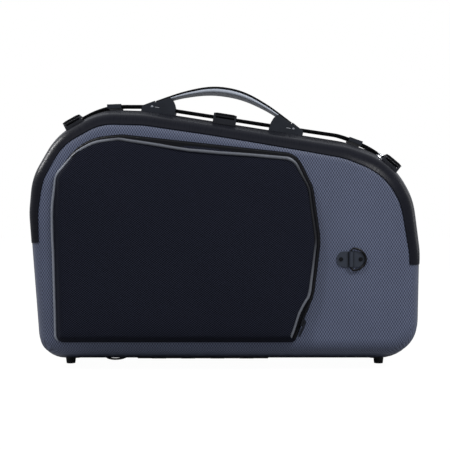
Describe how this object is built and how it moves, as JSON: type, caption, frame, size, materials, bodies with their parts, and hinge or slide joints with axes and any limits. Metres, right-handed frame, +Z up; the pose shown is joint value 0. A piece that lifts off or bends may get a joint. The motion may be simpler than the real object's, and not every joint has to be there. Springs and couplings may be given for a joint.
{
  "type": "instrument_case",
  "caption": "Standing french horn case: two textured moulded shells hinged below, gloss black edge band, draw latches, arched handle, top strap with rings, front zip pocket and rubber feet.",
  "frame": {"origin": "centre of the bounding box in X and Y, on the floor plane under the feet in Z", "axes": "+X along the case to its low end, +Y from the lid to the back, +Z up through the handle"},
  "size_m": [0.5822, 0.2014, 0.4158],
  "materials": {
    "shell_grey": "embossed satin",
    "gloss_black": "gloss",
    "rubber_black": "matte",
    "fabric_black": "woven",
    "piping_grey": "satin",
    "webbing_black": "woven",
    "grip_grey": "satin",
    "bracket_black": "satin",
    "latch_black": "satin",
    "latch_grey": "satin",
    "steel": "polished",
    "black_steel": "satin",
    "plush": "short pile"
  },
  "bodies": {
    "base": {"base_shell": "shell_grey", "base_band": "gloss_black", "seam_gasket": "rubber_black", "rim_tongue": "black_steel", "base_hinge_leaf": "black_steel", "hinge_pin": "steel", "base_lining": "plush", "foot_front_left": "rubber_black", "foot_screw_front_left": "steel", "foot_front_right": "rubber_black", "foot_screw_front_right": "steel", "foot_rear_left": "rubber_black", "foot_screw_rear_left": "steel", "foot_rear_right": "rubber_black", "foot_screw_rear_right": "steel", "handle_bracket_left": "bracket_black", "bracket_rivet_left": "steel", "handle_bracket_right": "bracket_black", "bracket_rivet_right": "steel", "handle_strap": "webbing_black", "handle_grip": "grip_grey", "top_strap": "webbing_black", "top_ring_left": "steel", "ring_anchor_left": "bracket_black", "strap_slider_left": "bracket_black", "top_ring_right": "steel", "ring_anchor_right": "bracket_black", "strap_slider_right": "bracket_black", "latch_keeper_left": "latch_grey", "latch_keeper_middle": "latch_grey", "latch_keeper_right": "latch_grey", "under_ring_plate": "black_steel", "under_ring_screw_a": "black_steel", "under_ring_screw_b": "black_steel"},
    "lid": {"lid_shell": "shell_grey", "lid_band": "gloss_black", "lid_hinge_leaf": "black_steel", "lid_lining": "plush", "latch_base_left": "latch_grey", "latch_base_middle": "latch_grey", "latch_base_right": "latch_grey", "front_ring_plate": "black_steel", "front_ring_screw_a": "black_steel", "front_ring_screw_b": "black_steel", "pocket": "fabric_black", "pocket_piping": "piping_grey", "pocket_zip": "webbing_black"},
    "lever_left": {"latch_lever_left": "latch_black"},
    "claw_left": {"latch_claw_left": "steel"},
    "lever_middle": {"latch_lever_middle": "latch_black"},
    "claw_middle": {"latch_claw_middle": "steel"},
    "lever_right": {"latch_lever_right": "latch_black"},
    "claw_right": {"latch_claw_right": "steel"},
    "front_ring": {"front_ring": "black_steel"},
    "under_ring": {"under_ring": "black_steel"},
    "zip_slider": {"zip_slider": "black_steel"},
    "zip_pull": {"zip_pull": "black_steel"}
  },
  "joints": [
    {"name": "lid_hinge", "type": "hinge", "parent": "base", "child": "lid", "pos_m": [0, -0.00433, 0.0105], "axis": [1, 0, 0], "range_deg": [0, 120]},
    {"name": "latch_left_lever", "type": "hinge", "parent": "lid", "child": "lever_left", "pos_m": [-0.22371, -0.02733, 0.36051], "axis": [0.8731, 0, 0.4876], "range_deg": [0, 100]},
    {"name": "latch_left_claw", "type": "hinge", "parent": "lever_left", "child": "claw_left", "pos_m": [-0.22371, -0.01733, 0.36051], "axis": [0.8731, 0, 0.4876], "range_deg": [-50, 0]},
    {"name": "latch_middle_lever", "type": "hinge", "parent": "lid", "child": "lever_middle", "pos_m": [0.0008, -0.02733, 0.3668], "axis": [0.9878, 0, -0.1559], "range_deg": [0, 100]},
    {"name": "latch_middle_claw", "type": "hinge", "parent": "lever_middle", "child": "claw_middle", "pos_m": [0.0008, -0.01733, 0.3668], "axis": [0.9878, 0, -0.1559], "range_deg": [-50, 0]},
    {"name": "latch_right_lever", "type": "hinge", "parent": "lid", "child": "lever_right", "pos_m": [0.24656, -0.02733, 0.30066], "axis": [0.7637, 0, -0.6455], "range_deg": [0, 100]},
    {"name": "latch_right_claw", "type": "hinge", "parent": "lever_right", "child": "claw_right", "pos_m": [0.24656, -0.01733, 0.30066], "axis": [0.7637, 0, -0.6455], "range_deg": [-50, 0]},
    {"name": "front_ring_hinge", "type": "hinge", "parent": "lid", "child": "front_ring", "pos_m": [0.17776, -0.08333, 0.1598], "axis": [0, 0, -1], "range_deg": [0, 180]},
    {"name": "under_ring_hinge", "type": "hinge", "parent": "base", "child": "under_ring", "pos_m": [-0.16386, 0.02166, 0.0095], "axis": [1, 0, 0], "range_deg": [0, 180]},
    {"name": "zip_slide", "type": "slide", "parent": "lid", "child": "zip_slider", "axis": [-0.3839, 0, -0.9234], "range_m": [-0.03, 0.022]},
    {"name": "zip_pull_hinge", "type": "hinge", "parent": "zip_slider", "child": "zip_pull", "pos_m": [0.11094, -0.09178, 0.07089], "axis": [0.8106, -0.4789, -0.337], "range_deg": [-170, 32]}
  ],
  "couplings": [
    {"joint": "latch_left_claw", "follows": "latch_left_lever", "ratio": -0.5},
    {"joint": "latch_middle_claw", "follows": "latch_middle_lever", "ratio": -0.5},
    {"joint": "latch_right_claw", "follows": "latch_right_lever", "ratio": -0.5}
  ]
}
